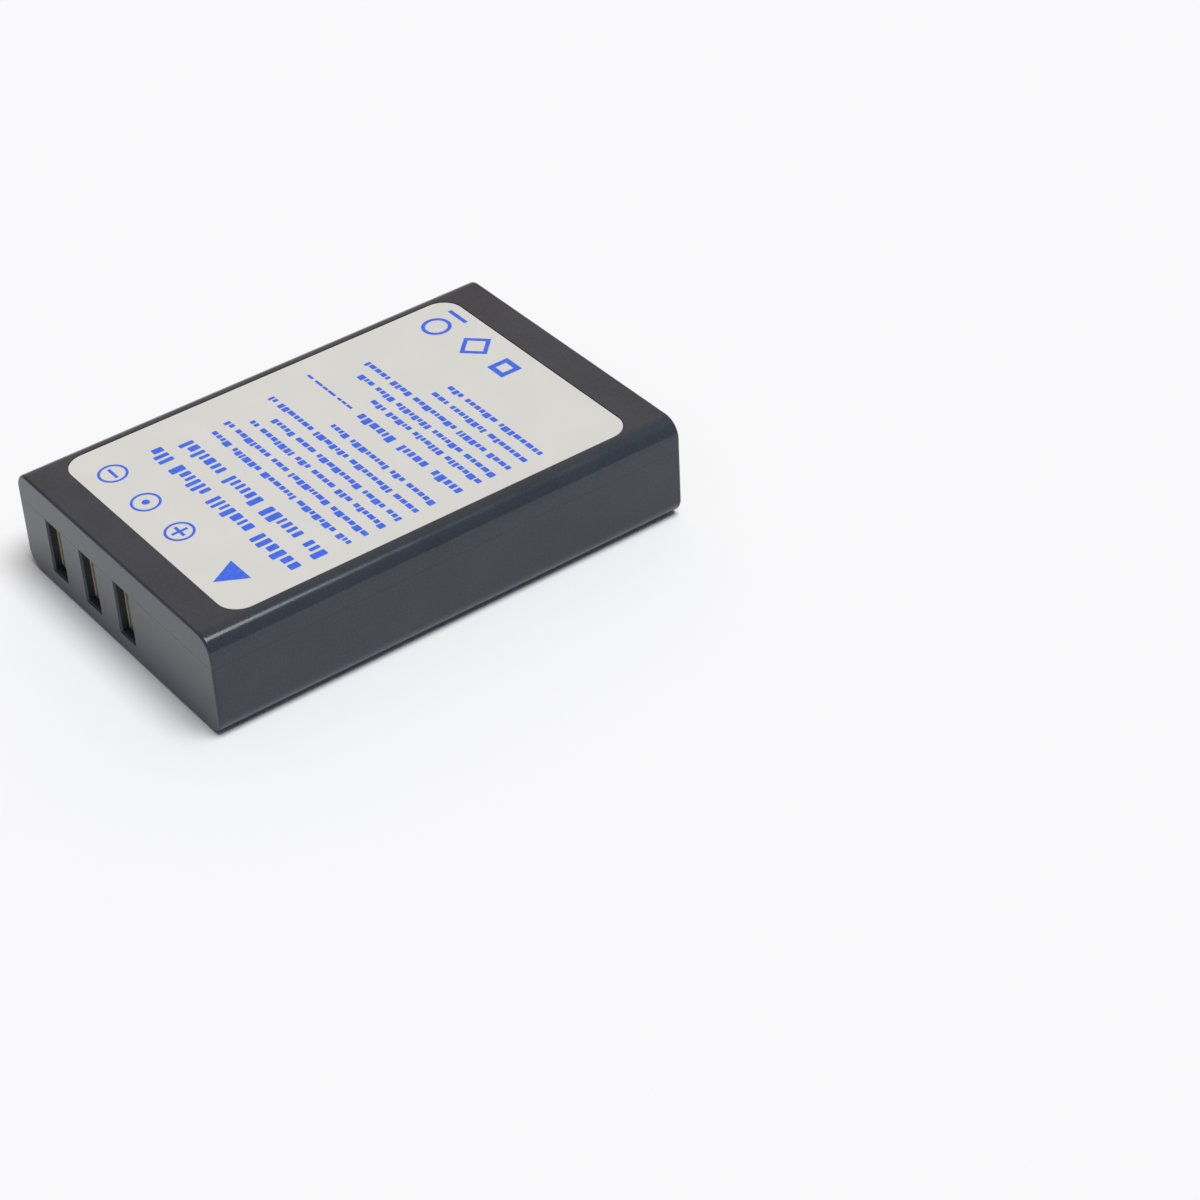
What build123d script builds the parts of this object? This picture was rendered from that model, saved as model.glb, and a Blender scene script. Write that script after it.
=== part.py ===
from build123d import *
import os

# Slim rechargeable battery for a compact camera. A thin two-part moulded case holds one sealed prismatic
# cell, the board that protects it, and three gold contact plates that show through slots in one end.
# Millimetres. +Z is up through the label face, the contact end faces -Y, X runs across the width.
# The origin is the centre of the underside.

# Case, outside
case_length = 53.0
case_width = 35.2
case_height = 11.1
edge_radius = 2.0
end_edge_radius = 0.3

# Case, walls
side_wall = 0.7
face_wall = 0.6
contact_wall = 0.8
plain_wall = 0.8
cavity_end_radius = 0.5

# Step joint where the lid is welded to the tray, and the fine groove that shows outside
tongue_thickness = 0.35
tongue_height = 0.6
weld_clearance = 0.04
seam_groove_depth = 0.05
seam_groove_height = 0.1

# Slots in the contact end. The row starts from the -X side and ends off centre, so that the battery goes in
# one way only.
contact_names = ["minus", "sense", "plus"]
first_slot_inset = 6.4
slot_pitch = 6.3
slot_width = 2.5
slot_height = 5.9
slot_floor = 2.0
slot_lead_in = 0.2

# Contact plates behind the slots
contact_thickness = 0.4
contact_lap = 0.4
contact_corner_radius = 0.3

# Label and its recess
label_side_margin = 0.15
label_front_margin = 3.7
label_back_margin = 4.0
label_corner_radius = 2.3
label_thickness = 0.1
label_recess_depth = 0.14
label_clearance = 0.08

# Moulding gate mark on the underside
gate_x = -2.1
gate_y = -14.9
gate_diameter = 3.2
gate_depth = 0.08

# Protection board and the ribs that hold it
board_thickness = 0.8
board_clearance = 0.15
board_rest_width = 1.0
right_rest_count = 2
keeper_width = 1.2
keeper_thickness = 0.6
keeper_clearance = 0.05
lid_keeper_x = 6.5
lid_keeper_width = 3.0
lid_keeper_depth = 1.2

# Cell
cell_side_clearance = 0.15
cell_top_clearance = 0.1
cell_corner_relief = 0.7
cell_base_radius = 1.0
cell_stop_thickness = 0.5
cell_stop_width = 3.0
cell_stop_x = 9.0
header_rim = 0.5
header_depth = 0.15
fill_port_inset = 5.25
fill_port_diameter = 1.2
fill_port_depth = 0.2

# Tape under the cell
tape_thickness = 0.1
tape_side_margin = 6.75
tape_end_margin = 6.5
tape_corner_radius = 1.5

# Middle terminal of the cell
rivet_head_diameter = 3.0
rivet_head_thickness = 0.5
rivet_shank_diameter = 1.6
rivet_shank_depth = 0.8
gasket_width = 5.0
gasket_height = 4.0
gasket_corner_radius = 0.6
gasket_thickness = 0.2

# Insulating sheet on the header
insulator_thickness = 0.2
insulator_inset = 0.4
insulator_clearance = 0.4

# Nickel strips from the cell to the board
tab_width = 3.0
tab_thickness = 0.15
tab_bend_radius = 0.15
tab_foot_length = 2.6
tab_bend_gap = 0.5
tab_board_length = 2.0
positive_tab_inset = 4.75

# Parts on the board's inner face. An inset runs from the board's -X edge, and for the switch from its +X
# edge. A height is over the underside of the case.
part_gap = 0.3
lead_thickness = 0.15
lead_overlap = 0.2
lead_foot_length = 0.3
lead_reach = 0.55
chip_standoff = 0.05

protector_inset = 11.75
protector_z = 4.0
protector_width = 2.9
protector_depth = 1.6
protector_height = 1.0
protector_lead_count = 3
protector_lead_pitch = 0.95
protector_lead_width = 0.4

mosfet_inset = 10.75
mosfet_z = 4.2
mosfet_width = 3.0
mosfet_depth = 4.4
mosfet_height = 0.95
mosfet_lead_count = 4
mosfet_lead_pitch = 0.65
mosfet_lead_width = 0.3

small_part_length = 1.6
small_part_depth = 0.8
small_part_height = 0.5
small_part_cap_length = 0.35
small_part_cap_growth = 0.03
thermistor_places = [(7.75, 6.6)]
resistor_places = [(4.25, 3.4), (4.25, 5.4), (7.75, 3.4)]
capacitor_places = [(7.75, 5.0), (11.75, 6.8)]

# Places worked out from the sizes above
case_front = -case_length / 2
case_back = case_length / 2
case_middle_z = case_height / 2
parting_z = slot_floor + slot_height

cavity_front = case_front + contact_wall
cavity_back = case_back - plain_wall
cavity_width = case_width - 2 * side_wall
cavity_height = case_height - 2 * face_wall
cavity_length = cavity_back - cavity_front
cavity_middle_y = (cavity_front + cavity_back) / 2
cavity_edge_radius = edge_radius - side_wall

slot_middle_z = slot_floor + slot_height / 2
first_slot_x = first_slot_inset - case_width / 2
slot_xs = [first_slot_x + slot_pitch * i for i in range(len(contact_names))]
contact_width = slot_width + 2 * contact_lap
contact_height = slot_height + 2 * contact_lap

board_front = cavity_front + contact_thickness
board_back = board_front + board_thickness
board_width = cavity_width - 2 * board_clearance
board_height = cavity_height - 2 * board_clearance
keeper_front = board_back + keeper_clearance

tallest_part = max(protector_height, mosfet_height, small_part_height)
cell_front = board_back + tallest_part + part_gap + insulator_thickness
cell_back = cavity_back - cell_stop_thickness
cell_bottom = face_wall + tape_thickness
cell_top = case_height - face_wall - cell_top_clearance
cell_width = cavity_width - 2 * cell_side_clearance
cell_height = cell_top - cell_bottom
cell_middle_z = (cell_bottom + cell_top) / 2
cell_edge_radius = cavity_edge_radius + cell_corner_relief
header_front = cell_front + header_depth
rivet_front = header_front - gasket_thickness - rivet_head_thickness
tab_bend_z = cell_middle_z + rivet_head_diameter / 2 + tab_bend_gap
positive_tab_x = cell_width / 2 - positive_tab_inset
fill_port_x = fill_port_inset - cell_width / 2
protector_x = protector_inset - board_width / 2
mosfet_x = board_width / 2 - mosfet_inset

label_width = case_width - 2 * edge_radius - 2 * label_side_margin
label_length = case_length - label_front_margin - label_back_margin
label_middle_y = (label_front_margin - label_back_margin) / 2
label_floor = case_height - label_recess_depth


def upright_plane(x, y, z):
    """A plane across the battery whose sketches face the contact end."""
    return Plane(origin=(x, y, z), x_dir=(1, 0, 0), z_dir=(0, -1, 0))


def upright_plate(width, height, corner_radius, front, back, x=0.0, z=case_middle_z):
    """A rounded plate that stands across the battery between two places along Y."""
    outline = upright_plane(x, back, z) * RectangleRounded(width, height, corner_radius)
    return extrude(outline, back - front)


def upright_disc(diameter, front, back, x, z):
    """A disc that stands across the battery between two places along Y."""
    return extrude(upright_plane(x, back, z) * Circle(diameter / 2), back - front)


def flat_plate(width, length, corner_radius, bottom, top, x=0.0, y=0.0):
    """A rounded plate that lies flat between two heights."""
    outline = Pos(x, y, bottom) * RectangleRounded(width, length, corner_radius)
    return extrude(outline, top - bottom)


def block(x_low, x_high, y_low, y_high, z_low, z_high):
    """A plain block between its limits, for ribs that a wall trims."""
    corner = (Align.MIN, Align.MIN, Align.MIN)
    return Pos(x_low, y_low, z_low) * Box(x_high - x_low, y_high - y_low, z_high - z_low, align=corner)


def round_ends(bar, radius):
    """Rounds the edges of a bar's two end faces."""
    ends = bar.faces().sort_by(Axis.Y)
    return fillet(ends[0].edges() + ends[-1].edges(), radius)


def case_bar(inset=0.0):
    """The outside of the closed case as one bar, or the same bar made smaller all round."""
    bar = upright_plate(
        case_width - 2 * inset,
        case_height - 2 * inset,
        edge_radius - inset,
        case_front + inset,
        case_back - inset,
    )
    return round_ends(bar, end_edge_radius - inset)


def cavity():
    """The room inside the closed case."""
    room = upright_plate(cavity_width, cavity_height, cavity_edge_radius, cavity_front, cavity_back)
    return round_ends(room, cavity_end_radius)


def cavity_slab(growth, height):
    """A slab of the cavity's plan, grown all round, that stands on the parting line."""
    return flat_plate(
        cavity_width + 2 * growth,
        cavity_length + 2 * growth,
        cavity_end_radius + growth,
        parting_z,
        parting_z + height,
        y=cavity_middle_y,
    )


def seam_groove():
    """A fine groove round the outside, half in the tray and half in the lid."""
    half = seam_groove_height / 2
    band = block(-case_width, case_width, -case_length, case_length, parting_z - half, parting_z + half)
    return band - case_bar(seam_groove_depth)


def board_rests():
    """Ribs inside the contact wall, as thick as the contact plates, that the board lies against."""
    left_wall = -cavity_width / 2
    right_wall = cavity_width / 2
    first_plate = slot_xs[0] - contact_width / 2
    last_plate = slot_xs[-1] + contact_width / 2
    right_step = (right_wall - last_plate) / (right_rest_count + 1)
    rest_xs = [(left_wall + first_plate) / 2]
    rest_xs += [last_plate + right_step * (i + 1) for i in range(right_rest_count)]
    half = board_rest_width / 2
    return [block(x - half, x + half, cavity_front, board_front, 0, parting_z) for x in rest_xs]


def board_posts():
    """Posts on the side walls that keep the board from moving back."""
    wall = cavity_width / 2
    keeper_back = keeper_front + keeper_thickness
    left = block(-wall, keeper_width - wall, keeper_front, keeper_back, 0, parting_z)
    right = block(wall - keeper_width, wall, keeper_front, keeper_back, 0, parting_z)
    return [left, right]


def cell_stops():
    """Ribs on the plain end wall that the base of the cell rests against."""
    half = cell_stop_width / 2
    stop_xs = [-cell_stop_x, cell_stop_x]
    return [block(x - half, x + half, cell_back, cavity_back, 0, parting_z) for x in stop_xs]


def lid_keepers():
    """Ribs that hang from the lid behind the top edge of the board."""
    half = lid_keeper_width / 2
    bottom = case_height - face_wall - lid_keeper_depth
    keeper_back = keeper_front + keeper_thickness
    return [
        block(x - half, x + half, keeper_front, keeper_back, bottom, case_height)
        for x in (-lid_keeper_x, lid_keeper_x)
    ]


def contact_slot(x):
    """A slot through the contact wall, open at the parting line, with a lead-in round its mouth."""
    top = parting_z + tongue_height
    slot = block(x - slot_width / 2, x + slot_width / 2, case_front, cavity_front, slot_floor, top)
    mouth = upright_plane(x, case_front, slot_middle_z) * Rectangle(
        slot_width + 2 * slot_lead_in, slot_height + 2 * slot_lead_in
    )
    return slot + extrude(mouth, -slot_lead_in, taper=45)


def case_tray():
    """The lower shell, with its ribs, the tongue of the weld joint, the slots and the gate mark."""
    room = cavity() - board_rests() - board_posts() - cell_stops()
    tray = split(case_bar() - room, Plane.XY.offset(parting_z), keep=Keep.BOTTOM)
    tray += cavity_slab(tongue_thickness, tongue_height) - cavity_slab(0, tongue_height)
    tray -= seam_groove()
    tray -= [contact_slot(x) for x in slot_xs]
    return tray - extrude(Pos(gate_x, gate_y, 0) * Circle(gate_diameter / 2), gate_depth)


def case_lid():
    """The upper shell, with its ribs, the step that takes the tongue, and the recess for the label."""
    room = cavity() - lid_keepers()
    lid = split(case_bar() - room, Plane.XY.offset(parting_z), keep=Keep.TOP)
    lid -= cavity_slab(tongue_thickness + weld_clearance, tongue_height + weld_clearance)
    lid -= seam_groove()
    lid -= flat_plate(
        label_width + 2 * label_clearance,
        label_length + 2 * label_clearance,
        label_corner_radius + label_clearance,
        label_floor,
        case_height,
        y=label_middle_y,
    )
    return lid


def rating_label():
    """The film label that lies in the recess of the lid."""
    label_top = label_floor + label_thickness
    return flat_plate(
        label_width, label_length, label_corner_radius, label_floor, label_top, y=label_middle_y
    )


def contact_plate(x):
    """A gold-plated plate between the slotted wall and the board, larger than its slot all round."""
    return upright_plate(
        contact_width, contact_height, contact_corner_radius, cavity_front, board_front, x, slot_middle_z
    )


def circuit_board():
    """The board that stands across the case behind the contact plates."""
    return upright_plate(board_width, board_height, cavity_edge_radius, board_front, board_back)


def cell_can():
    """The sealed cell: a drawn can with a sunk header, its terminal hole and its plugged fill port."""
    can = upright_plate(cell_width, cell_height, cell_edge_radius, cell_front, cell_back, z=cell_middle_z)
    can = fillet(can.faces().sort_by(Axis.Y)[-1].edges(), cell_base_radius)
    can -= upright_plate(
        cell_width - 2 * header_rim,
        cell_height - 2 * header_rim,
        cell_edge_radius - header_rim,
        cell_front,
        header_front,
        z=cell_middle_z,
    )
    shank_back = header_front + rivet_shank_depth
    port_back = header_front + fill_port_depth
    can -= upright_disc(rivet_shank_diameter, header_front, shank_back, 0, cell_middle_z)
    can -= upright_disc(fill_port_diameter, header_front, port_back, fill_port_x, cell_middle_z)
    return can


def rivet_gasket():
    """The insulating plate between the header and the terminal rivet."""
    gasket_front = header_front - gasket_thickness
    plate = upright_plate(
        gasket_width, gasket_height, gasket_corner_radius, gasket_front, header_front, z=cell_middle_z
    )
    return plate - upright_disc(rivet_shank_diameter, gasket_front, header_front, 0, cell_middle_z)


def terminal_rivet():
    """The cell's middle terminal: a flat head on the gasket and a shank into the header."""
    head_back = rivet_front + rivet_head_thickness
    head = upright_disc(rivet_head_diameter, rivet_front, head_back, 0, cell_middle_z)
    shank_back = header_front + rivet_shank_depth
    shank = upright_disc(rivet_shank_diameter, head_back, shank_back, 0, cell_middle_z)
    return head + shank


def header_insulator():
    """The die-cut sheet on the header, open round the terminal and the foot of the positive strip."""
    sheet = upright_plate(
        cell_width - 2 * header_rim - 2 * insulator_inset,
        cell_height - 2 * header_rim - 2 * insulator_inset,
        cell_edge_radius - header_rim - insulator_inset,
        header_front - insulator_thickness,
        header_front,
        z=cell_middle_z,
    )
    terminal_window = upright_plate(
        gasket_width + 2 * insulator_clearance,
        gasket_height + 2 * insulator_clearance,
        gasket_corner_radius + insulator_clearance,
        header_front - insulator_thickness,
        header_front,
        z=cell_middle_z,
    )
    foot_bottom = tab_bend_z - tab_bend_gap - tab_foot_length
    foot_window = upright_plate(
        tab_width + 2 * insulator_clearance,
        tab_bend_z - foot_bottom + 2 * insulator_clearance,
        insulator_clearance,
        header_front - insulator_thickness,
        header_front,
        positive_tab_x,
        (foot_bottom + tab_bend_z) / 2,
    )
    return sheet - terminal_window - foot_window


def nickel_strip(x, seat_y):
    """A strip that lies on a terminal at seat_y, turns out towards the board and turns up along it."""
    half = tab_thickness / 2
    foot_y = seat_y - half
    board_y = board_back + half
    foot_bottom = tab_bend_z - tab_bend_gap - tab_foot_length
    corners = [
        (foot_y, foot_bottom),
        (foot_y, tab_bend_z),
        (board_y, tab_bend_z),
        (board_y, tab_bend_z + tab_board_length),
    ]
    side_view = Plane(origin=(x - tab_width / 2, 0, 0), x_dir=(0, 1, 0), z_dir=(1, 0, 0))
    path = FilletPolyline(*corners, radius=tab_bend_radius + half)
    return extrude(side_view * trace(path, tab_thickness), tab_width)


def on_board(part, x, z):
    """Turns a part that stands on the XY plane onto the inner face of the board."""
    return Plane(origin=(x, board_back, z), x_dir=(1, 0, 0), z_dir=(0, 1, 0)) * part


def gull_wing_chip(width, depth, height, lead_count, lead_pitch, lead_width):
    """A moulded chip on two rows of bent leads, standing on the XY plane."""
    upright = (Align.CENTER, Align.CENTER, Align.MIN)
    body_height = height - chip_standoff
    chip = Pos(0, 0, chip_standoff) * Box(width, depth, body_height, align=upright)
    middle = chip_standoff + body_height / 2
    wall = depth / 2
    toe = wall + lead_reach
    heel = toe - lead_foot_length
    foot_z = lead_thickness / 2
    bend = [(wall - lead_overlap, middle), (heel, middle), (heel, foot_z), (toe, foot_z)]
    lead_face = trace(Polyline(*bend), lead_thickness)
    for i in range(lead_count):
        lead_x = lead_pitch * (i - (lead_count - 1) / 2) - lead_width / 2
        side_view = Plane(origin=(lead_x, 0, 0), x_dir=(0, 1, 0), z_dir=(1, 0, 0))
        lead = extrude(side_view * lead_face, lead_width)
        chip += [lead, mirror(lead, about=Plane.XZ)]
    return chip


def two_cap_part():
    """A small ceramic part with a metal cap on each end, standing on the XY plane."""
    upright = (Align.CENTER, Align.CENTER, Align.MIN)
    growth = 2 * small_part_cap_growth
    body = Pos(0, 0, small_part_cap_growth) * Box(
        small_part_length, small_part_depth - growth, small_part_height - growth, align=upright
    )
    cap_x = (small_part_length - small_part_cap_length) / 2
    caps = [
        Pos(x, 0, 0) * Box(small_part_cap_length, small_part_depth, small_part_height, align=upright)
        for x in (-cap_x, cap_x)
    ]
    return body + caps


def small_parts(places):
    """One small part at each inset and height on the board."""
    edge = -board_width / 2
    return Compound(children=[on_board(two_cap_part(), edge + inset, z) for inset, z in places])


def protection_chip():
    """The chip that watches the cell."""
    chip = gull_wing_chip(
        protector_width,
        protector_depth,
        protector_height,
        protector_lead_count,
        protector_lead_pitch,
        protector_lead_width,
    )
    return on_board(chip, protector_x, protector_z)


def mosfet_pair():
    """The double switch that cuts the current."""
    chip = gull_wing_chip(
        mosfet_width,
        mosfet_depth,
        mosfet_height,
        mosfet_lead_count,
        mosfet_lead_pitch,
        mosfet_lead_width,
    )
    return on_board(chip, mosfet_x, mosfet_z)


def cell_tape():
    """The adhesive sheet between the tray and the cell."""
    width = cell_width - 2 * tape_side_margin
    length = cell_back - cell_front - 2 * tape_end_margin
    middle = (cell_front + cell_back) / 2
    return flat_plate(width, length, tape_corner_radius, face_wall, cell_bottom, y=middle)


nodes = {
    "case_tray": case_tray(),
    "case_lid": case_lid(),
    "rating_label": rating_label(),
    "circuit_board": circuit_board(),
    "cell_can": cell_can(),
    "rivet_gasket": rivet_gasket(),
    "terminal_rivet": terminal_rivet(),
    "header_insulator": header_insulator(),
    "negative_tab": nickel_strip(0, rivet_front),
    "positive_tab": nickel_strip(positive_tab_x, header_front),
    "protection_chip": protection_chip(),
    "mosfet_pair": mosfet_pair(),
    "thermistor": small_parts(thermistor_places),
    "chip_resistors": small_parts(resistor_places),
    "chip_capacitors": small_parts(capacitor_places),
    "cell_tape": cell_tape(),
}
for name, x in zip(contact_names, slot_xs):
    nodes["contact_" + name] = contact_plate(x)

os.makedirs("parts", exist_ok=True)
for name, solid in nodes.items():
    export_step(solid, f"parts/{name}.step")
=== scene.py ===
# %% [markdown]
# A slim camera battery
#
# The battery is a thin black box of moulded plastic: a tray below and a lid above, welded together along a
# fine seam. A pale film label lies in a shallow recess of the lid, and three slots in one end show gold
# contact plates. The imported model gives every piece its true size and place. This lesson models the pieces
# that show once more, with rounded edges that catch the light, prints the label, and gives each piece the
# finish of its real material.

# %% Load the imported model
import math
import random

import bmesh
import bpy
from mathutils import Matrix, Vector


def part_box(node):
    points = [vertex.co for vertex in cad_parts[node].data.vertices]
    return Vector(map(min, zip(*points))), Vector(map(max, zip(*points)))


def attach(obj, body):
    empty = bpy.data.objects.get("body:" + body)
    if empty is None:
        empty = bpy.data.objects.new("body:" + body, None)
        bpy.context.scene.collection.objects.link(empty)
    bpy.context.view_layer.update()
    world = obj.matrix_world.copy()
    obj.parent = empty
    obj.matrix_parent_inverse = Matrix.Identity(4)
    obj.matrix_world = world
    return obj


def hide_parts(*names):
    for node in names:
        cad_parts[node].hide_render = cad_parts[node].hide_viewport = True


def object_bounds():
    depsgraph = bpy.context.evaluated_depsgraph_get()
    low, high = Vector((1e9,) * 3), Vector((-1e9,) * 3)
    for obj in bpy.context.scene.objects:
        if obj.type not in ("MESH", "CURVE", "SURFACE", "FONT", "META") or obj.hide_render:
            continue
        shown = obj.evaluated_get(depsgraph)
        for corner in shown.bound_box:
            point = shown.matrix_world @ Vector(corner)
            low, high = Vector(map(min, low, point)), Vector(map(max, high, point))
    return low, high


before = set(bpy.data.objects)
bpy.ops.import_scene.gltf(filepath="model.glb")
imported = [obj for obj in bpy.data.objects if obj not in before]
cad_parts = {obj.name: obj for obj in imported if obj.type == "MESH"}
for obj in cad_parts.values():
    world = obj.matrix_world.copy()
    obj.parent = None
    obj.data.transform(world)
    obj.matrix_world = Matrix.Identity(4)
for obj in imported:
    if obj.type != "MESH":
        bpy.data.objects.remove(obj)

cad_low, cad_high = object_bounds()
bpy.ops.object.select_all(action="DESELECT")
print("packed nodes:", sorted(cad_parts))

# %% [markdown]
# Sizes from the frame
#
# Blender's mesh tools lose accuracy on edges of a few hundredths of a millimetre when one unit is a metre.
# So each piece is modelled at one unit to the millimetre and shrunk to metres when it is done. Every size
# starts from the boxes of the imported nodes, with the clearances between them as named values.

# %% Boxes of the nodes, in millimetres
MM = 0.001


def box_mm(node):
    """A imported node's lowest and highest corner in millimetres."""
    low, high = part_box(node)
    return low / MM, high / MM


case_low = cad_low / MM
case_high = cad_high / MM
label_low, label_high = box_mm("rating_label")
board_low, board_high = box_mm("circuit_board")
contact_nodes = ["contact_minus", "contact_sense", "contact_plus"]
contact_boxes = [box_mm(node) for node in contact_nodes]
contact_shifts = [low.x - contact_boxes[0][0].x for low, high in contact_boxes]
parting_z = box_mm("case_lid")[0].z
tongue_top = box_mm("case_tray")[1].z
cell_back = box_mm("cell_can")[1].y
print("case in mm:", [round(v, 2) for v in case_high - case_low], "parting line at", round(parting_z, 2))

# %% [markdown]
# The camera
#
# The camera stands where the photograph was taken from. The place was found by laying the battery's outline
# over the picture until they matched: about 31 cm away with a long lens, a little turned about its own axis.

# %% Camera
camera_place = Vector((222.2, -128.7, 186.3))
camera_aim = Vector((23.2, 12.1, 0.0))
camera_roll = math.radians(-3.1)
camera_lens = 97.2
camera_sensor = 36.0
nearest_seen = 1.0

bpy.ops.object.camera_add(location=camera_place * MM)
camera = bpy.context.active_object
camera.name = "photo_camera"
camera.rotation_euler = (camera_aim - camera_place).to_track_quat("-Z", "Y").to_euler()
camera.rotation_euler.rotate_axis("Z", camera_roll)
camera.data.lens = camera_lens
camera.data.sensor_width = camera_sensor
camera.data.clip_start = nearest_seen * MM
bpy.context.scene.camera = camera
print("camera at", [round(v, 4) for v in camera.location])

# %% [markdown]
# Blocks with rounded edges
#
# At the screen, a piece like this starts as a cube that is stretched to size, and then its edges are picked
# and bevelled. These helpers do the same steps with the same operators. One adds the cube, one opens a piece
# in edit mode with nothing picked, and one leaves edit mode again.

# %% Add a block, open and close edit mode
def add_block(name, low, high):
    """A cube primitive stretched between two corners."""
    bpy.ops.object.select_all(action="DESELECT")
    bpy.ops.mesh.primitive_cube_add(size=1, location=(low + high) / 2, scale=high - low)
    piece = bpy.context.active_object
    piece.name = piece.data.name = name
    bpy.ops.object.transform_apply(location=True, rotation=True, scale=True)
    return piece


def edit(piece, kind):
    """Opens one piece in edit mode with nothing picked."""
    bpy.ops.object.select_all(action="DESELECT")
    piece.select_set(True)
    bpy.context.view_layer.objects.active = piece
    bpy.ops.object.mode_set(mode="EDIT")
    bpy.ops.mesh.select_mode(type=kind)
    bpy.ops.mesh.select_all(action="DESELECT")


def leave_edit():
    """Goes back to object mode."""
    bpy.ops.object.mode_set(mode="OBJECT")


# %% [markdown]
# In a window, edges and faces are picked by eye. In a script they are picked by where they are: all edges
# that run along one axis, or all that lie in one plane across it.

# %% Pick edges and faces
X, Y, Z = 0, 1, 2
TOUCH = 0.001


def pick(piece, kind, test):
    """Picks the edges or faces of the piece in edit mode that pass a test."""
    mesh = bmesh.from_edit_mesh(piece.data)
    for part in getattr(mesh, kind):
        if test(part):
            part.select_set(True)
    bmesh.update_edit_mesh(piece.data)


def runs_along(axis):
    """A test for edges that run along an axis."""
    return lambda edge: abs((edge.verts[1].co - edge.verts[0].co).normalized()[axis]) > 1 - TOUCH


def lies_at(axis, *places):
    """A test for edges or faces that lie wholly in one of some planes across an axis."""
    return lambda part: any(all(abs(v.co[axis] - p) < TOUCH for v in part.verts) for p in places)


# %% [markdown]
# A moulded bar has large rounds along its length and small ones round its two ends. The long edges are
# bevelled first, because the rims of the ends then follow the new outline in one go. A flat slab only has its
# four upright edges rounded.

# %% Round edges
def round_edges(piece, test, radius, steps):
    """Bevels the picked edges to a round."""
    edit(piece, "EDGE")
    pick(piece, "edges", test)
    bpy.ops.mesh.bevel(offset=radius, segments=steps, profile=0.5, affect="EDGES")
    leave_edit()


def rounded_bar(name, low, high, long_radius, end_radius, long_steps=14, end_steps=4):
    """A bar along Y with its long edges rounded first, and the rims of its two ends after."""
    bar = add_block(name, low, high)
    round_edges(bar, runs_along(Y), long_radius, long_steps)
    round_edges(bar, lies_at(Y, low.y, high.y), end_radius, end_steps)
    return bar


def rounded_slab(name, low, high, corner_radius, steps=12):
    """A flat slab with its four upright edges rounded."""
    slab = add_block(name, low, high)
    round_edges(slab, runs_along(Z), corner_radius, steps)
    return slab


# %% [markdown]
# The room inside the case
#
# Both shells are hollowed by the same room. Its walls lie a clearance away from the board and the cell that
# it holds. The rounding at its ends is a little smaller than the depth of the cell stops: where a stop's face
# and the start of a round fall on one line, the cut leaves a face without area.

# %% Size of the room
edge_radius = 2.0
side_wall = 0.7
cavity_end_radius = 0.45
board_clearance = 0.15
cell_stop = 0.5

cavity_front = contact_boxes[0][0].y
cavity_low = Vector((board_low.x - board_clearance, cavity_front, board_low.z - board_clearance))
cavity_high = Vector((board_high.x + board_clearance, cell_back + cell_stop, board_high.z + board_clearance))
print("room in mm:", [round(v, 2) for v in cavity_high - cavity_low])

# %% [markdown]
# Ribs stay standing in the room. The tray's hold the board upright and stop the cell, and the lid's reach
# down behind the board. Each is a plain block, given by its lowest and highest corner, that bites a little
# into the walls so that no gap is left.

# %% Ribs
wall_bite = 0.3
rest_width = 1.0
keeper_width = 1.2
keeper_thickness = 0.6
keeper_clearance = 0.05
cell_stop_width = 3.0
cell_stop_x = 9.0
lid_keeper_x = 6.5
lid_keeper_width = 3.0
lid_keeper_depth = 1.2

keeper_front = board_high.y + keeper_clearance


def tray_ribs():
    """Corner pairs of the ribs that rise from the tray."""
    bottom = cavity_low.z - wall_bite
    row_start = contact_boxes[0][0].x
    row_end = contact_boxes[-1][1].x
    third = (cavity_high.x - row_end) / 3
    ribs = []
    for x in ((cavity_low.x + row_start) / 2, row_end + third, row_end + 2 * third):
        low = Vector((x - rest_width / 2, cavity_front - wall_bite, bottom))
        ribs.append((low, Vector((x + rest_width / 2, board_low.y, parting_z))))
    for x in (-cell_stop_x, cell_stop_x):
        low = Vector((x - cell_stop_width / 2, cell_back, bottom))
        ribs.append((low, Vector((x + cell_stop_width / 2, cavity_high.y + wall_bite, parting_z))))
    for low_x, high_x in (
        (cavity_low.x - wall_bite, cavity_low.x + keeper_width),
        (cavity_high.x - keeper_width, cavity_high.x + wall_bite),
    ):
        low = Vector((low_x, keeper_front, bottom))
        ribs.append((low, Vector((high_x, keeper_front + keeper_thickness, parting_z))))
    return ribs


def lid_ribs():
    """Corner pairs of the ribs that hang from the lid."""
    ribs = []
    for x in (-lid_keeper_x, lid_keeper_x):
        low = Vector((x - lid_keeper_width / 2, keeper_front, cavity_high.z - lid_keeper_depth))
        high = Vector((x + lid_keeper_width / 2, keeper_front + keeper_thickness, cavity_high.z + wall_bite))
        ribs.append((low, high))
    return ribs


print("ribs:", len(tray_ribs()), "in the tray and", len(lid_ribs()), "in the lid")

# %% [markdown]
# A Boolean modifier joins two bodies or cuts one away from the other, and it is applied at once. The ribs are
# cut out of the room first, so that they are left standing when the room is cut out of a shell. The tongue of
# the joint, and the step that takes it, are slabs with the room's plan.

# %% Cut and join
def combine(piece, other, operation):
    """Joins another body to the piece or cuts it away, and removes that body."""
    bpy.ops.object.select_all(action="DESELECT")
    piece.select_set(True)
    bpy.context.view_layer.objects.active = piece
    step = piece.modifiers.new("combine", "BOOLEAN")
    step.operation = operation
    step.solver = "EXACT"
    step.object = other
    bpy.ops.object.modifier_apply(modifier=step.name)
    bpy.data.objects.remove(other)


def cavity(ribs):
    """The room inside the case, less some ribs."""
    room = rounded_bar("room", cavity_low, cavity_high, edge_radius - side_wall, cavity_end_radius)
    for low, high in ribs:
        combine(room, add_block("rib", low, high), "DIFFERENCE")
    return room


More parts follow.
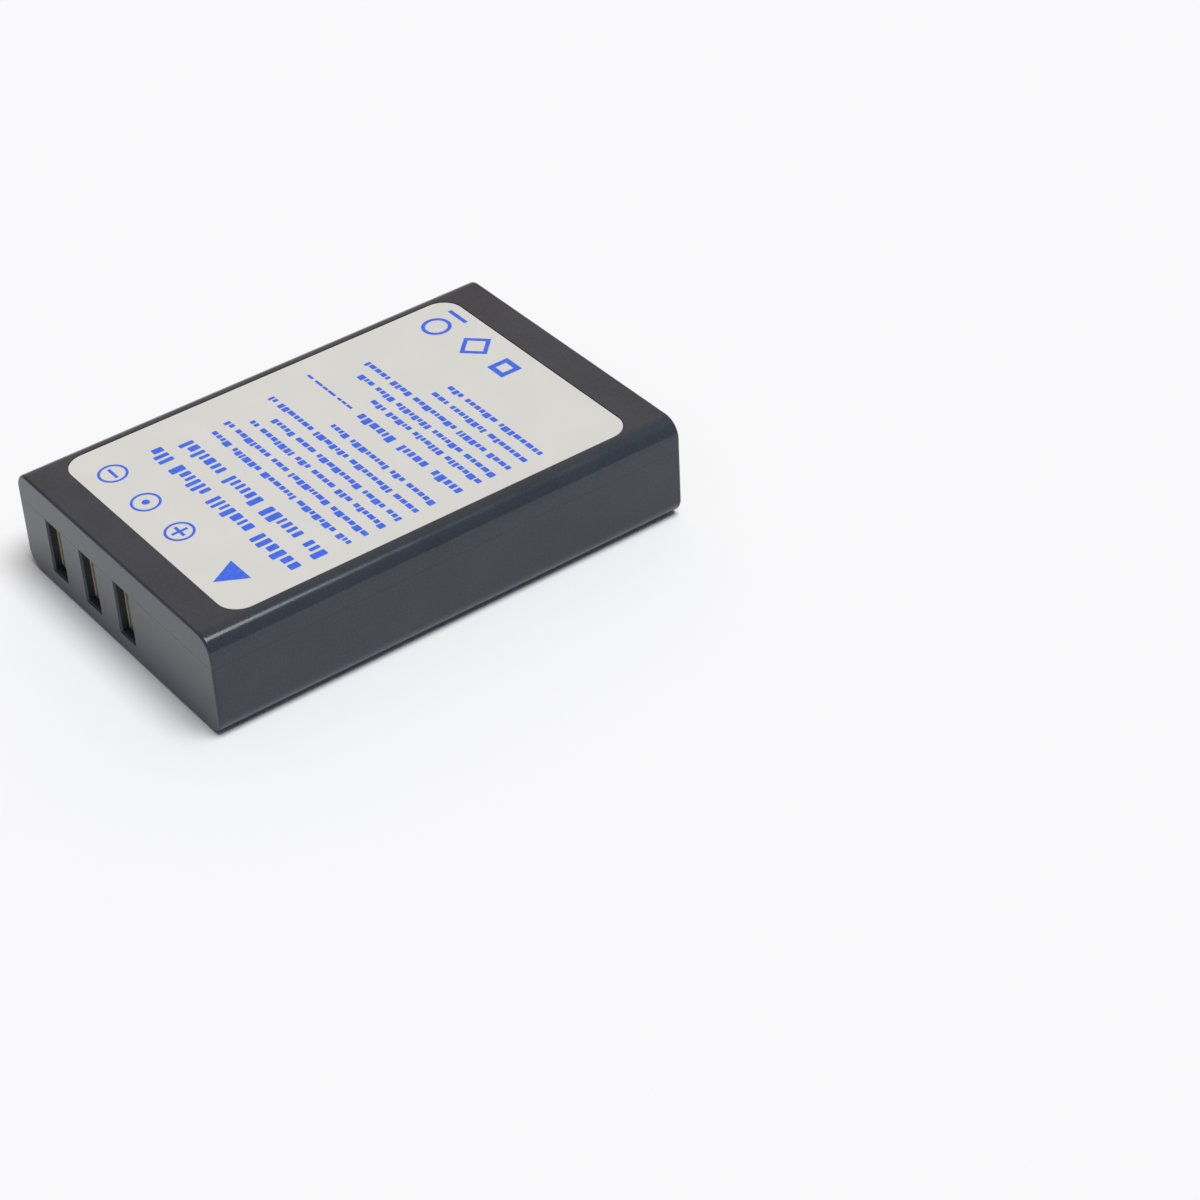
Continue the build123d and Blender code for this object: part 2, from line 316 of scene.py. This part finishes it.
def cavity_slab(growth, bottom, top):
    """A slab of the room's plan, grown all round."""
    low = Vector((cavity_low.x - growth, cavity_low.y - growth, bottom))
    high = Vector((cavity_high.x + growth, cavity_high.y + growth, top))
    return rounded_slab("slab", low, high, cavity_end_radius + growth)


# %% [markdown]
# The tray
#
# The tray is the lower shell: underside, side walls and both ends, with the contact slots open at the top.
# Tray and lid both start as the outside of the whole case, which is cut at the parting line. The edge of the
# cut is eased a little, so that a fine groove shows where the two halves meet.

# %% Half a case
end_edge_radius = 0.3
seam_ease = 0.02
ease_steps = 2


def case_half(name, keep_below):
    """One half of the case's outside, with an eased edge at the parting line."""
    half = rounded_bar(name, case_low, case_high, edge_radius, end_edge_radius)
    edit(half, "FACE")
    bpy.ops.mesh.select_all(action="SELECT")
    bpy.ops.mesh.bisect(
        plane_co=(0, 0, parting_z),
        plane_no=(0, 0, 1),
        use_fill=True,
        clear_outer=keep_below,
        clear_inner=not keep_below,
    )
    leave_edit()
    round_edges(half, lies_at(Z, parting_z), seam_ease, ease_steps)
    return half


# %% [markdown]
# Each slot lies in front of a contact plate. Its mouth is flared, so that a pin of the camera finds its way
# in. The cutter is a block whose front face is extruded and widened, and then extruded once more to pass
# through the end face. What repeats along the row is modelled once and copied, each copy with its own mesh.

# %% Slots
contact_lap = 0.4
slot_lead_in = 0.2
overshoot = 0.5


def slot_cutter(plate_low, plate_high):
    """A slot in front of a contact plate, flared where it meets the end face."""
    low = Vector((plate_low.x + contact_lap, case_low.y + slot_lead_in, plate_low.z + contact_lap))
    high = Vector((plate_high.x - contact_lap, cavity_front + wall_bite, tongue_top + overshoot))
    cutter = add_block("slot", low, high)
    size = high - low
    mouth = Vector(((low.x + high.x) / 2, case_low.y, (low.z + high.z) / 2))
    flare = ((size.x + 2 * slot_lead_in) / size.x, 1, (size.z + 2 * slot_lead_in) / size.z)
    edit(cutter, "FACE")
    pick(cutter, "faces", lies_at(Y, low.y))
    bpy.ops.mesh.extrude_region_move(TRANSFORM_OT_translate={"value": (0, -slot_lead_in, 0)})
    bpy.ops.transform.resize(value=flare, center_override=mouth)
    bpy.ops.mesh.extrude_region_move(TRANSFORM_OT_translate={"value": (0, -overshoot, 0)})
    leave_edit()
    return cutter


def copy_along_x(piece, name, shift):
    """A copy with its own mesh, set off along X."""
    bpy.ops.object.select_all(action="DESELECT")
    piece.select_set(True)
    bpy.context.view_layer.objects.active = piece
    bpy.ops.object.duplicate_move(TRANSFORM_OT_translate={"value": (shift, 0, 0)})
    twin = bpy.context.active_object
    twin.name = twin.data.name = name
    bpy.ops.object.transform_apply(location=True, rotation=True, scale=True)
    return twin


# %% [markdown]
# A finished piece is shrunk to metres, so that it sits at the origin with its place in its mesh. Smooth
# shading stops at edges of more than 30 degrees, and weighted normals keep the large flat faces flat right
# up to their rounded edges. The piece then rides on the battery's one body.

# %% Finish a piece
SMOOTH_ANGLE = math.radians(30)


def finish_piece(piece, replaces=None):
    """Shrinks a piece to metres, shades it, and ties it to the battery's one body."""
    bpy.ops.object.select_all(action="DESELECT")
    piece.select_set(True)
    bpy.context.view_layer.objects.active = piece
    piece.scale = (MM, MM, MM)
    bpy.ops.object.transform_apply(location=True, rotation=True, scale=True)
    bpy.ops.object.shade_smooth_by_angle(angle=SMOOTH_ANGLE)
    step = piece.modifiers.new("flat_faces", "WEIGHTED_NORMAL")
    step.keep_sharp = True
    bpy.ops.object.modifier_apply(modifier=step.name)
    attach(piece, "root")
    if replaces:
        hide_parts(replaces)
    print(f"{piece.name}: {len(piece.data.polygons)} faces")
    return piece


# %% [markdown]
# Now the tray is put together. The lower half gets its tongue, then the room and the slots are cut out. Last
# comes the shallow round mark on the underside where the plastic was let into the mould.

# %% Tray
tongue_thickness = 0.35
gate_place = Vector((-2.1, -14.9, 0.0))
gate_diameter = 3.2
gate_depth = 0.08
gate_corners = 64

tray = case_half("tray_shell", keep_below=True)
combine(tray, cavity_slab(tongue_thickness, parting_z - wall_bite, tongue_top), "UNION")
combine(tray, cavity(tray_ribs()), "DIFFERENCE")
first_slot = slot_cutter(*contact_boxes[0])
more_slots = [copy_along_x(first_slot, "slot", shift) for shift in contact_shifts[1:]]
for cutter in (first_slot, *more_slots):
    combine(tray, cutter, "DIFFERENCE")
bpy.ops.object.select_all(action="DESELECT")
bpy.ops.mesh.primitive_cylinder_add(
    vertices=gate_corners, radius=gate_diameter / 2, depth=2 * gate_depth, location=gate_place
)
combine(tray, bpy.context.active_object, "DIFFERENCE")
finish_piece(tray, "case_tray")

# %% [markdown]
# The lid
#
# The lid is the upper shell. It has a step round its rim that takes the tray's tongue, and a recess a little
# larger than the label, so that the label's edge is protected. It is made from the other half of the case by
# the same cuts.

# %% Lid
weld_clearance = 0.04
label_clearance = 0.08
label_corner_radius = 2.3

step_growth = tongue_thickness + weld_clearance
step_top = tongue_top + weld_clearance
label_gap = Vector((label_clearance, label_clearance, 0))
recess_high = Vector((label_high.x, label_high.y, case_high.z + overshoot)) + label_gap
recess_radius = label_corner_radius + label_clearance

lid = case_half("lid_shell", keep_below=False)
combine(lid, cavity_slab(step_growth, parting_z - overshoot, step_top), "DIFFERENCE")
combine(lid, cavity(lid_ribs()), "DIFFERENCE")
combine(lid, rounded_slab("recess", label_low - label_gap, recess_high, recess_radius), "DIFFERENCE")
finish_piece(lid, "case_lid")

# %% [markdown]
# The label and the contact plates
#
# The label is die-cut film with round corners, and its upper rim is eased as a cut film edge is.

# %% Label film
film_edge_ease = 0.03

label = rounded_slab("label_film", label_low, label_high, label_corner_radius)
round_edges(label, lies_at(Z, label_high.z), film_edge_ease, ease_steps)
finish_piece(label, "rating_label")

# %% [markdown]
# A contact plate is stamped from strip, so its corners are round and its face has a shallow pressed pad. The
# pad is inset while the face is still a rectangle, and the corners are rounded after: an inset wider than a
# corner's radius would fold over itself.

# %% Contact plates
plate_corner_radius = 0.3
plate_corner_steps = 5
pad_margin = 0.7
pad_depth = 0.04

plate_low, plate_high = contact_boxes[0]
first_plate = add_block(contact_nodes[0] + "_plate", plate_low, plate_high)
edit(first_plate, "FACE")
pick(first_plate, "faces", lies_at(Y, plate_low.y))
bpy.ops.mesh.inset(thickness=pad_margin, depth=0)
bpy.ops.mesh.inset(thickness=pad_depth, depth=-pad_depth)
leave_edit()
round_edges(first_plate, runs_along(Y), plate_corner_radius, plate_corner_steps)

contacts = [first_plate]
for node, shift in zip(contact_nodes[1:], contact_shifts[1:]):
    contacts.append(copy_along_x(first_plate, node + "_plate", shift))
for plate, node in zip(contacts, contact_nodes):
    finish_piece(plate, node)

# %% [markdown]
# The print
#
# The label is printed in one blue ink, and its print is generic: rows of plain blocks as long as words, a
# solid arrow that points to the contact end, and polarity signs in rings behind their slots. Ink has hardly
# any thickness, so each shape is a flat outline that is raised by a hundredth of a millimetre.

# %% Flat shapes
ink_bottom = label_high.z


def flat_shape(name, corners, radius, place, turn=0.0, line=None):
    """A flat disc or polygon, or with a line width only its outline."""
    bpy.ops.object.select_all(action="DESELECT")
    bpy.ops.mesh.primitive_circle_add(
        vertices=corners, radius=radius, fill_type="NGON", location=(place[X], place[Y], ink_bottom)
    )
    piece = bpy.context.active_object
    piece.name = piece.data.name = name
    piece.rotation_euler.z = turn
    bpy.ops.object.transform_apply(location=True, rotation=True, scale=True)
    if line:
        edit(piece, "FACE")
        bpy.ops.mesh.select_all(action="SELECT")
        bpy.ops.mesh.inset(thickness=line, depth=0)
        bpy.ops.mesh.delete(type="FACE")
        leave_edit()
    return piece


def flat_bars(name, bars, corner=0.0):
    """Flat bars, each given by its middle and its size, as one piece."""
    piece = None
    for x, y, width, depth in bars:
        middle = (x, y, ink_bottom)
        bpy.ops.mesh.primitive_plane_add(size=1, location=middle)
        if piece is None:
            piece = bpy.context.active_object
            piece.name = piece.data.name = name
            bpy.ops.object.transform_apply(location=True, rotation=True, scale=True)
            edit(piece, "VERT")
            bpy.ops.mesh.select_all(action="SELECT")
        bpy.ops.transform.resize(value=(width, depth, 1), center_override=middle)
    if corner:
        bpy.ops.mesh.select_all(action="SELECT")
        bpy.ops.mesh.bevel(offset=corner, segments=2, affect="VERTICES")
    leave_edit()
    return piece


# %% [markdown]
# Shapes that belong together are joined while they are flat, and then raised in one step. An extrusion of a
# loose sheet can leave its faces turned inwards, so the normals are made consistent after it.

# %% Join and raise the ink
ink_thickness = 0.012


def join_flat(pieces):
    """Joins flat shapes into the first of them."""
    bpy.ops.object.select_all(action="DESELECT")
    for piece in pieces:
        piece.select_set(True)
    bpy.context.view_layer.objects.active = pieces[0]
    bpy.ops.object.join()
    return pieces[0]


def raise_ink(piece):
    """Gives flat shapes the thickness of ink and turns their faces outwards."""
    edit(piece, "FACE")
    bpy.ops.mesh.select_all(action="SELECT")
    bpy.ops.mesh.extrude_region_move(TRANSFORM_OT_translate={"value": (0, 0, ink_thickness)})
    bpy.ops.mesh.select_all(action="SELECT")
    bpy.ops.mesh.normals_make_consistent(inside=False)
    leave_edit()
    return finish_piece(piece)


# %% [markdown]
# Arrow and polarity signs
#
# The arrow is a three-cornered disc with its point towards the contact end. Each ring lies behind its slot,
# as near as print is set. The signs are bars: one for minus, a bar and two stubs for plus, and a dot for the
# sense contact.

# %% Arrow and signs
arrow_place = (10.15, -19.4)
arrow_radius = 2.0
ring_y = -19.65
ring_first_x = -10.75
ring_pitch = 6.1
ring_radius = 1.5
ring_line = 0.27
ring_corners = 48
sign_length = 1.7
sign_line = 0.32
dot_radius = 0.4


def sign_shape(node, x):
    """What stands in a contact's ring."""
    if node == "contact_sense":
        return flat_shape("dot", ring_corners, dot_radius, (x, ring_y))
    bars = [(x, ring_y, sign_length, sign_line)]
    if node == "contact_plus":
        stub = (sign_length - sign_line) / 2
        shift = (sign_line + stub) / 2
        bars += [(x, ring_y + shift, sign_line, stub), (x, ring_y - shift, sign_line, stub)]
    return flat_bars("sign", bars)


ring = flat_shape("ring", ring_corners, ring_radius, (ring_first_x, ring_y), line=ring_line)
signs = []
for place, node in enumerate(contact_nodes):
    shift = place * ring_pitch
    own_ring = copy_along_x(ring, "print_" + node, shift)
    signs.append(raise_ink(join_flat([own_ring, sign_shape(node, ring_first_x + shift)])))
bpy.data.objects.remove(ring)
arrow_shape = flat_shape("print_arrow", corners=3, radius=arrow_radius, place=arrow_place, turn=math.pi)
arrow = raise_ink(arrow_shape)

# %% [markdown]
# Blind lines
#
# A line is filled with blocks from the margin until it is long enough. Blocks differ in width and some stand
# taller, as letters do, and after each few of them comes the gap between words. One seeded source of random
# numbers gives the same print in every run.

# %% One blind line
margin_x = 13.3
word_blocks = (3, 8)
tall_share = 0.3
chance = random.Random(11)


def line_bars(y, end_x, low_height, tall_height, block_widths, block_gap, word_gap, start_x=margin_x):
    """Blocks along one line, from a start on the right to an end on the left."""
    bars = []
    x = start_x
    while x > end_x:
        for _ in range(chance.randint(*word_blocks)):
            width = chance.uniform(*block_widths)
            height = tall_height if chance.random() < tall_share else low_height
            if x - width < end_x:
                break
            bars.append((x - width / 2, y - (height - low_height) / 2, width, height))
            x -= width + block_gap
        x -= word_gap
    return bars


# %% [markdown]
# There are four kinds of line: bold headings, small body lines, one heavier line, and the thin rule that it
# ends in. Each kind has its own heights, widths and gaps, in millimetres.

# %% Kinds of lines
heading_blocks = {
    "low_height": 1.15,
    "tall_height": 1.6,
    "block_widths": (0.4, 0.95),
    "block_gap": 0.36,
    "word_gap": 0.9,
}
body_blocks = {
    "low_height": 0.55,
    "tall_height": 0.75,
    "block_widths": (0.35, 0.95),
    "block_gap": 0.17,
    "word_gap": 0.5,
}
spec_blocks = {
    "low_height": 0.8,
    "tall_height": 1.05,
    "block_widths": (0.4, 0.95),
    "block_gap": 0.26,
    "word_gap": 1.0,
}
rule_blocks = {
    "low_height": 0.3,
    "tall_height": 0.3,
    "block_widths": (0.6, 1.4),
    "block_gap": 0.15,
    "word_gap": 0.3,
}

# %% [markdown]
# Each line has its place along Y and its own end. Two headings come first, then six lines of body, the
# heavier line with its rule, and five more lines at the foot.

# %% All lines
heading_ends = {-14.4: -11.9, -11.5: -11.0}
body_ends = {-8.6: -11.0, -6.7: -11.9, -4.8: -9.6, -3.0: -9.1, -1.1: -12.5, 0.8: -4.6}
foot_ends = {6.1: -5.6, 7.7: -9.6, 9.5: -11.0, 11.4: -2.7, 13.2: -2.3}
spec_y = 3.8
spec_end = -4.6
rule_start = -5.0
rule_end = -12.9

heading = []
for y, end_x in heading_ends.items():
    heading += line_bars(y, end_x, **heading_blocks)
body = []
for y, end_x in (body_ends | foot_ends).items():
    body += line_bars(y, end_x, **body_blocks)
spec = line_bars(spec_y, spec_end, **spec_blocks)
spec += line_bars(spec_y, rule_end, **rule_blocks, start_x=rule_start)
print("blocks:", len(heading), "in headings,", len(body), "in the body,", len(spec), "in the heavier line")

# %% Print the lines
heading_corner = 0.12
body_corner = 0.06

heading_print = raise_ink(flat_bars("print_heading", heading, heading_corner))
body_print = raise_ink(flat_bars("print_body", body, body_corner))
spec_print = raise_ink(flat_bars("print_specification", spec, body_corner))

# %% [markdown]
# Marks at the far end
#
# A row of three plain outlines closes the print: a ring with a bar over it, a diamond and a square. A
# four-cornered disc stands on its corner, so the square is turned by an eighth.

# %% Marks
mark_ring_place = (-11.7, 18.5)
mark_ring_radius = 1.55
mark_bar_place = (-11.8, 21.2)
mark_bar_length = 2.9
diamond_place = (-6.2, 19.4)
diamond_radius = 1.95
square_place = (-1.1, 19.3)
square_radius = 1.75
square_corners = 4
fine_line = 0.4
mark_line = 0.45
bold_line = 0.6
eighth_turn = math.pi / 4

mark_shapes = [
    flat_shape("print_marks", ring_corners, mark_ring_radius, mark_ring_place, line=fine_line),
    flat_bars("bar", [(*mark_bar_place, mark_bar_length, mark_line)]),
    flat_shape("diamond", square_corners, diamond_radius, diamond_place, line=mark_line),
    flat_shape("square", square_corners, square_radius, square_place, turn=eighth_turn, line=bold_line),
]
marks = raise_ink(join_flat(mark_shapes))

# %% [markdown]
# Finishes
#
# A finish is a small tree of nodes. One function turns a colour as it is seen on a screen into the linear
# light that Blender works with, and one adds a node with its settings and links. A Mix node has several
# sockets called A and B, so its colour pair and colour result are given by number.

# %% Colours and nodes
COLOUR_A, COLOUR_B, COLOUR_OUT = 6, 7, 2


def screen_colour(code):
    """A colour written as six hex digits, in linear light."""
    parts = [int(code[i : i + 2], 16) / 255 for i in (1, 3, 5)]
    linear = [p / 12.92 if p <= 0.04045 else ((p + 0.055) / 1.055) ** 2.4 for p in parts]
    return (*linear, 1.0)


def add_node(tree, kind, settings=None, **links):
    """Adds a node, sets its sockets and properties, and links outputs into its named sockets."""
    node = tree.nodes.new(kind)
    for name, value in (settings or {}).items():
        if isinstance(name, int) or name in node.inputs:
            node.inputs[name].default_value = value
        else:
            setattr(node, name, value)
    for name, output in links.items():
        tree.links.new(output, node.inputs[name.replace("_", " ")])
    return node


# %% [markdown]
# Patterns read Object coordinates, which are metres here, so the scale of a pattern is one over the real size
# of its features. They stay on the piece when it moves.

# %% Start a finish and put it on
def new_finish(name):
    """An empty finish with its shader and its coordinates."""
    material = bpy.data.materials.new(name)
    material.use_nodes = True
    tree = material.node_tree
    shader = tree.nodes["Principled BSDF"]
    coordinates = add_node(tree, "ShaderNodeTexCoord")
    return material, tree, shader, coordinates.outputs["Object"]


def per_mm(size):
    """The scale of a noise whose features are this many millimetres across."""
    return 1 / (size * MM)


def put_on(piece, material):
    """Makes a finish the only one on a piece."""
    piece.data.materials.clear()
    piece.data.materials.append(material)


# %% [markdown]
# Black moulded plastic
#
# The case is a blend of polycarbonate and ABS from a fine spark-eroded mould: deep grey-black with a satin
# gloss. The mould's grain is about a tenth of a millimetre, too fine to show here, so it is drawn twice as
# coarse. Handling leaves patches that are a little smoother. The blend's index is about 1.57, but the grain
# scatters much of what a polished face would mirror, so a lower one matches the object.

# %% Black plastic
def black_plastic():
    """PC/ABS with a fine moulded grain and uneven gloss."""
    material, tree, shader, place = new_finish("black_pc_abs")
    shader.inputs["IOR"].default_value = 1.42
    grain = add_node(tree, "ShaderNodeTexNoise", {"Scale": per_mm(0.22), "Detail": 2.0}, Vector=place)
    patches = add_node(tree, "ShaderNodeTexNoise", {"Scale": per_mm(7.0), "Detail": 3.0}, Vector=place)
    mottle = add_node(
        tree,
        "ShaderNodeMix",
        {"Factor": 0.5},
        A=patches.outputs["Fac"],
        B=grain.outputs["Fac"],
    )
    tone = add_node(
        tree,
        "ShaderNodeMix",
        {"data_type": "RGBA", COLOUR_A: screen_colour("#22262D"), COLOUR_B: screen_colour("#444B55")},
        Factor=mottle.outputs["Result"],
    )
    gloss = add_node(
        tree,
        "ShaderNodeMapRange",
        {"From Min": 0.3, "From Max": 0.7, "To Min": 0.12, "To Max": 0.19},
        Value=patches.outputs["Fac"],
    )
    bump = add_node(
        tree,
        "ShaderNodeBump",
        {"Strength": 0.06, "Distance": 0.008 * MM},
        Height=grain.outputs["Fac"],
    )
    tree.links.new(tone.outputs[COLOUR_OUT], shader.inputs["Base Color"])
    tree.links.new(gloss.outputs["Result"], shader.inputs["Roughness"])
    tree.links.new(bump.outputs["Normal"], shader.inputs["Normal"])
    return material


plastic = black_plastic()
for shell in (tray, lid):
    put_on(shell, plastic)
print("finish:", plastic.name, "on both shells")

# %% [markdown]
# Label film and ink
#
# The film is white polyester under a satin varnish, a warm light grey to the eye. The varnish has a faint
# ripple. The ink is a clear blue that lies unevenly: here and there the film shows through it.

# %% Label film finish
def label_polyester():
    """White polyester film with a faint cloud and a soft sheen."""
    material, tree, shader, place = new_finish("white_polyester_film")
    cloud = add_node(tree, "ShaderNodeTexNoise", {"Scale": per_mm(6.0), "Detail": 4.0}, Vector=place)
    ripple = add_node(tree, "ShaderNodeTexNoise", {"Scale": per_mm(0.35), "Detail": 2.0}, Vector=place)
    tone = add_node(
        tree,
        "ShaderNodeMix",
        {"data_type": "RGBA", COLOUR_A: screen_colour("#D6D6D1"), COLOUR_B: screen_colour("#DDDDD8")},
        Factor=cloud.outputs["Fac"],
    )
    bump = add_node(
        tree, "ShaderNodeBump", {"Strength": 0.15, "Distance": 0.003 * MM}, Height=ripple.outputs["Fac"]
    )
    shader.inputs["Roughness"].default_value = 0.45
    tree.links.new(tone.outputs[COLOUR_OUT], shader.inputs["Base Color"])
    tree.links.new(bump.outputs["Normal"], shader.inputs["Normal"])
    return material


put_on(label, label_polyester())
print("finish:", label.active_material.name, "on the label")


# %% Ink finish
def blue_ink():
    """Printed ink that lies a little unevenly on the film."""
    material, tree, shader, place = new_finish("blue_printing_ink")
    cover = add_node(tree, "ShaderNodeTexNoise", {"Scale": per_mm(0.5), "Detail": 3.0}, Vector=place)
    thin = add_node(
        tree,
        "ShaderNodeMapRange",
        {"From Min": 0.45, "From Max": 0.8, "To Min": 0.0, "To Max": 0.35},
        Value=cover.outputs["Fac"],
    )
    tone = add_node(
        tree,
        "ShaderNodeMix",
        {"data_type": "RGBA", COLOUR_A: screen_colour("#2F65E8"), COLOUR_B: screen_colour("#8396E0")},
        Factor=thin.outputs["Result"],
    )
    shader.inputs["Roughness"].default_value = 0.5
    tree.links.new(tone.outputs[COLOUR_OUT], shader.inputs["Base Color"])
    return material


ink = blue_ink()
printed = (*signs, arrow, heading_print, body_print, spec_print, marks)
for piece in printed:
    put_on(piece, ink)
print("finish:", ink.name, "on", len(printed), "pieces")

# %% [markdown]
# Metals
#
# The contact plates are gold over nickel, dull and pale, with wipe marks along Z from the pins of the camera.
# The can is drawn aluminium, and the strips and the rivet are nickel. All have streaks that run one way, so
# one function makes them with their own colour, gloss and direction. Real streaks are a few hundredths of a
# millimetre wide, too fine to show, so they are drawn several times as coarse.

# %% Metals
gloss_spread = 0.08


def streaked_metal(name, dark, light, roughness, streak, stretch):
    """A metal with streaks of this width in millimetres, and their scale on each axis."""
    material, tree, shader, place = new_finish(name)
    mapping = add_node(tree, "ShaderNodeMapping", {"Scale": stretch}, Vector=place)
    streaks = add_node(
        tree, "ShaderNodeTexNoise", {"Scale": per_mm(streak), "Detail": 3.0}, Vector=mapping.outputs["Vector"]
    )
    tone = add_node(
        tree,
        "ShaderNodeMix",
        {"data_type": "RGBA", COLOUR_A: screen_colour(dark), COLOUR_B: screen_colour(light)},
        Factor=streaks.outputs["Fac"],
    )
    gloss = add_node(
        tree,
        "ShaderNodeMapRange",
        {"To Min": roughness - gloss_spread, "To Max": roughness + gloss_spread},
        Value=streaks.outputs["Fac"],
    )
    bump = add_node(
        tree, "ShaderNodeBump", {"Strength": 0.2, "Distance": 0.002 * MM}, Height=streaks.outputs["Fac"]
    )
    shader.inputs["Metallic"].default_value = 1.0
    tree.links.new(tone.outputs[COLOUR_OUT], shader.inputs["Base Color"])
    tree.links.new(gloss.outputs["Result"], shader.inputs["Roughness"])
    tree.links.new(bump.outputs["Normal"], shader.inputs["Normal"])
    return material


gold = streaked_metal(
    "gold_plated_nickel", "#958C70", "#ACA287", roughness=0.4, streak=0.15, stretch=(1.0, 1.0, 0.08)
)
aluminium = streaked_metal(
    "drawn_aluminium", "#BDBFC2", "#D4D5D7", roughness=0.38, streak=0.3, stretch=(1.0, 0.05, 1.0)
)
nickel = streaked_metal(
    "rolled_nickel", "#B5B0A5", "#CBC6BA", roughness=0.32, streak=0.2, stretch=(1.0, 1.0, 0.06)
)
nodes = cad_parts
for plate in contacts:
    put_on(plate, gold)
put_on(nodes["cell_can"], aluminium)
for name in ("negative_tab", "positive_tab", "terminal_rivet"):
    put_on(nodes[name], nickel)
print("finishes:", gold.name, aluminium.name, nickel.name)

# %% [markdown]
# Pieces that the case hides
#
# The board, its parts, the sheets and the gasket don't show while the case is shut, but the model keeps them
# and they get their own finish: a speckled tone at the scale of their fibres or grain.

# %% Hidden pieces
def speckled(name, dark, light, roughness, speck):
    """A dull material with specks of this many millimetres."""
    material, tree, shader, place = new_finish(name)
    specks = add_node(tree, "ShaderNodeTexNoise", {"Scale": per_mm(speck), "Detail": 4.0}, Vector=place)
    tone = add_node(
        tree,
        "ShaderNodeMix",
        {"data_type": "RGBA", COLOUR_A: screen_colour(dark), COLOUR_B: screen_colour(light)},
        Factor=specks.outputs["Fac"],
    )
    shader.inputs["Roughness"].default_value = roughness
    tree.links.new(tone.outputs[COLOUR_OUT], shader.inputs["Base Color"])
    return material


resin = speckled("moulded_epoxy", "#1C1C1D", "#262627", roughness=0.55, speck=0.1)
ceramic = speckled("fired_ceramic", "#8A7860", "#A08C72", roughness=0.45, speck=0.15)
hidden_finishes = {
    "circuit_board": speckled("glass_epoxy_board", "#1C4A2C", "#2A6540", roughness=0.35, speck=0.4),
    "rivet_gasket": speckled("white_nylon", "#DCDAD2", "#E6E4DD", roughness=0.5, speck=0.5),
    "header_insulator": speckled("pressed_paper", "#B9AA86", "#CBBD9B", roughness=0.8, speck=0.3),
    "cell_tape": speckled("adhesive_film", "#DDD9C6", "#E6E2D2", roughness=0.4, speck=1.0),
    "protection_chip": resin,
    "mosfet_pair": resin,
    "thermistor": ceramic,
    "chip_resistors": ceramic,
    "chip_capacitors": ceramic,
}
for name, material in hidden_finishes.items():
    put_on(nodes[name], material)
print("hidden pieces with a finish:", len(hidden_finishes))

# %% [markdown]
# Floor and light
#
# The battery lies on a white table. The floor is a large matte plane a hair below the underside, in a colour
# that this light brings just short of full white, so that the soft shadow stays.

# %% Floor
floor_size = 12.0
floor_gap = 0.01

bpy.ops.object.select_all(action="DESELECT")
bpy.ops.mesh.primitive_plane_add(size=floor_size, location=(0, 0, -floor_gap * MM))
floor = bpy.context.active_object
floor.name = "floor"

white = bpy.data.materials.new("white_table")
white.use_nodes = True
table = white.node_tree.nodes["Principled BSDF"]
table.inputs["Base Color"].default_value = screen_colour("#FAFBFC")
table.inputs["Roughness"].default_value = 0.9
table.inputs["Specular IOR Level"].default_value = 0.0
put_on(floor, white)
print("floor:", floor_size, "m across")

# %% [markdown]
# The room is dim and cool, apart from a warm bright wall across from the camera, which the lid mirrors.
# From there the long rounded edge turns past the lamp to the dim side, so a dark band runs below its bright
# line. The light follows how far a direction turns towards the wall: the cosine of the angle between them,
# which is the dot product of the two.

# %% Room light
room_dark = 0.18
room_bright = 0.62
bright_side = Vector((-0.65, 0.55, 0.52)).normalized()
wall_begins = 0.55
wall_full = 0.97
SECOND_VECTOR = 1

world = bpy.data.worlds.new("studio")
bpy.context.scene.world = world
world.use_nodes = True
tree = world.node_tree
around = add_node(tree, "ShaderNodeTexCoord")
facing = add_node(
    tree,
    "ShaderNodeVectorMath",
    {"operation": "DOT_PRODUCT", SECOND_VECTOR: bright_side},
    Vector=around.outputs["Generated"],
)
side = add_node(
    tree,
    "ShaderNodeMapRange",
    {"From Min": wall_begins, "From Max": wall_full},
    Value=facing.outputs["Value"],
)
level = add_node(
    tree, "ShaderNodeMapRange", {"To Min": room_dark, "To Max": room_bright}, Value=side.outputs["Result"]
)
tint = add_node(
    tree,
    "ShaderNodeMix",
    {"data_type": "RGBA", COLOUR_A: screen_colour("#E4EFFF"), COLOUR_B: screen_colour("#FFE3CC")},
    Factor=side.outputs["Result"],
)
tree.links.new(level.outputs["Result"], tree.nodes["Background"].inputs["Strength"])
tree.links.new(tint.outputs[COLOUR_OUT], tree.nodes["Background"].inputs["Color"])
print("room light from", room_dark, "to", room_bright)

# %% [markdown]
# The key light is a round softbox high up, a little towards the long side that shows. The long rounded edge
# mirrors its rim as a thin bright line that fades away from the contact end. A sun lamp with a wide angle
# does this at any distance.

# %% Key light
key_from = Vector((0.28, 0.115, 0.953))
key_strength = 2.5
key_angle = math.radians(32)

bpy.ops.object.light_add(type="SUN", location=(0, 0, 1))
key = bpy.context.active_object
key.name = "soft_key"
key.rotation_euler = (-key_from).to_track_quat("-Z", "Y").to_euler()
key.data.energy = key_strength
key.data.angle = key_angle

bpy.context.scene.view_settings.view_transform = "Standard"
print("key light from", [round(v, 2) for v in key_from])
